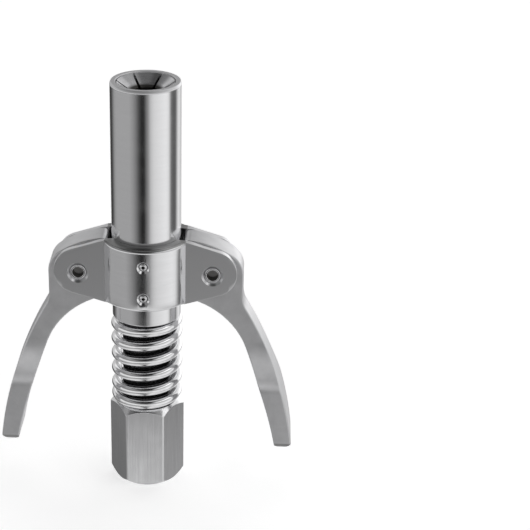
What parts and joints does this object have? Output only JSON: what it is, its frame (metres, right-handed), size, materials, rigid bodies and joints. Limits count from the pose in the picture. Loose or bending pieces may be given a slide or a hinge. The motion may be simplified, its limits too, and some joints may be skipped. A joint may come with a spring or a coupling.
{
  "type": "grease coupler",
  "caption": "Locking grease coupler with a sprung sliding sleeve, jaws in its mouth, a pair of squeeze levers on a side bracket and a hex body with a threaded hose port.",
  "frame": {"origin": "centre of the hex body's lower face, in the mouth of the hose port", "axes": "+Z along the grease way towards the jaws, X through the two lever pivots, -Y is the side seen in the picture"},
  "size_m": [0.0718, 0.0218, 0.1031],
  "materials": {
    "sleeve_plate": "polished nickel plate",
    "hex_plate": "bright plate over milled flats",
    "spring_wire": "bright drawn wire",
    "bracket_plate": "polished shell, satin ears",
    "lever_satin": "satin nickel",
    "pin_steel": "ground steel",
    "jaw_steel": "hardened, ground cone",
    "core_steel": "turned, blackened in oil",
    "seal_rubber": "moulded nitrile"
  },
  "bodies": {
    "core": {"hex_body": "hex_plate", "stem": "core_steel", "return_spring": "spring_wire", "nose_tube": "core_steel", "nipple_seal": "seal_rubber", "check_spring": "spring_wire", "jaw_spring_ring": "spring_wire"},
    "sleeve": {"outer_sleeve": "sleeve_plate", "bracket_front": "bracket_plate", "bracket_rear": "bracket_plate", "collar_pin_front_upper": "pin_steel", "collar_pin_front_lower": "pin_steel", "collar_pin_rear_upper": "pin_steel", "collar_pin_rear_lower": "pin_steel", "pivot_pin_left": "pin_steel", "pivot_pin_right": "pin_steel"},
    "lever_left": {"lever_left": "lever_satin"},
    "lever_right": {"lever_right": "lever_satin"},
    "jaw_1": {"jaw_1": "jaw_steel"},
    "jaw_2": {"jaw_2": "jaw_steel"},
    "jaw_3": {"jaw_3": "jaw_steel"},
    "jaw_4": {"jaw_4": "jaw_steel"},
    "jaw_5": {"jaw_5": "jaw_steel"},
    "jaw_6": {"jaw_6": "jaw_steel"},
    "ball": {"check_ball": "core_steel"}
  },
  "joints": [
    {"name": "sleeve_slide", "type": "slide", "parent": "core", "child": "sleeve", "axis": [0, 0, -1], "range_m": [0, 0.0036], "stiffness_N_per_m": 4000, "springref_m": -0.004, "deforming": ["return_spring"]},
    {"name": "lever_left_squeeze", "type": "hinge", "parent": "sleeve", "child": "lever_left", "pos_m": [-0.016, 0, 0.0568], "axis": [0, -1, 0], "range_deg": [0, 20.1]},
    {"name": "lever_right_squeeze", "type": "hinge", "parent": "sleeve", "child": "lever_right", "pos_m": [0.016, 0, 0.0568], "axis": [0, 1, 0], "range_deg": [0, 20.1]},
    {"name": "jaw_1_open", "type": "hinge", "parent": "core", "child": "jaw_1", "pos_m": [0.00433, 0.0025, 0.0882], "axis": [-0.5, 0.866, 0], "range_deg": [0, 3.3]},
    {"name": "jaw_2_open", "type": "hinge", "parent": "core", "child": "jaw_2", "pos_m": [0, 0.005, 0.0882], "axis": [-1, 0, 0], "range_deg": [0, 3.3]},
    {"name": "jaw_3_open", "type": "hinge", "parent": "core", "child": "jaw_3", "pos_m": [-0.00433, 0.0025, 0.0882], "axis": [-0.5, -0.866, 0], "range_deg": [0, 3.3]},
    {"name": "jaw_4_open", "type": "hinge", "parent": "core", "child": "jaw_4", "pos_m": [-0.00433, -0.0025, 0.0882], "axis": [0.5, -0.866, 0], "range_deg": [0, 3.3]},
    {"name": "jaw_5_open", "type": "hinge", "parent": "core", "child": "jaw_5", "pos_m": [0, -0.005, 0.0882], "axis": [1, 0, 0], "range_deg": [0, 3.3]},
    {"name": "jaw_6_open", "type": "hinge", "parent": "core", "child": "jaw_6", "pos_m": [0.00433, -0.0025, 0.0882], "axis": [0.5, 0.866, 0], "range_deg": [0, 3.3]},
    {"name": "check_ball_lift", "type": "slide", "parent": "core", "child": "ball", "axis": [0, 0, 1], "range_m": [0, 0.0012], "stiffness_N_per_m": 150, "springref_m": -0.002, "deforming": ["check_spring"]}
  ],
  "couplings": [
    {"joint": "lever_left_squeeze", "follows": "sleeve_slide", "rad_per_m": 97.4},
    {"joint": "lever_right_squeeze", "follows": "sleeve_slide", "rad_per_m": 97.4},
    {"joint": "jaw_1_open", "follows": "sleeve_slide", "rad_per_m": 15.9},
    {"joint": "jaw_2_open", "follows": "sleeve_slide", "rad_per_m": 15.9},
    {"joint": "jaw_3_open", "follows": "sleeve_slide", "rad_per_m": 15.9},
    {"joint": "jaw_4_open", "follows": "sleeve_slide", "rad_per_m": 15.9},
    {"joint": "jaw_5_open", "follows": "sleeve_slide", "rad_per_m": 15.9},
    {"joint": "jaw_6_open", "follows": "sleeve_slide", "rad_per_m": 15.9}
  ]
}
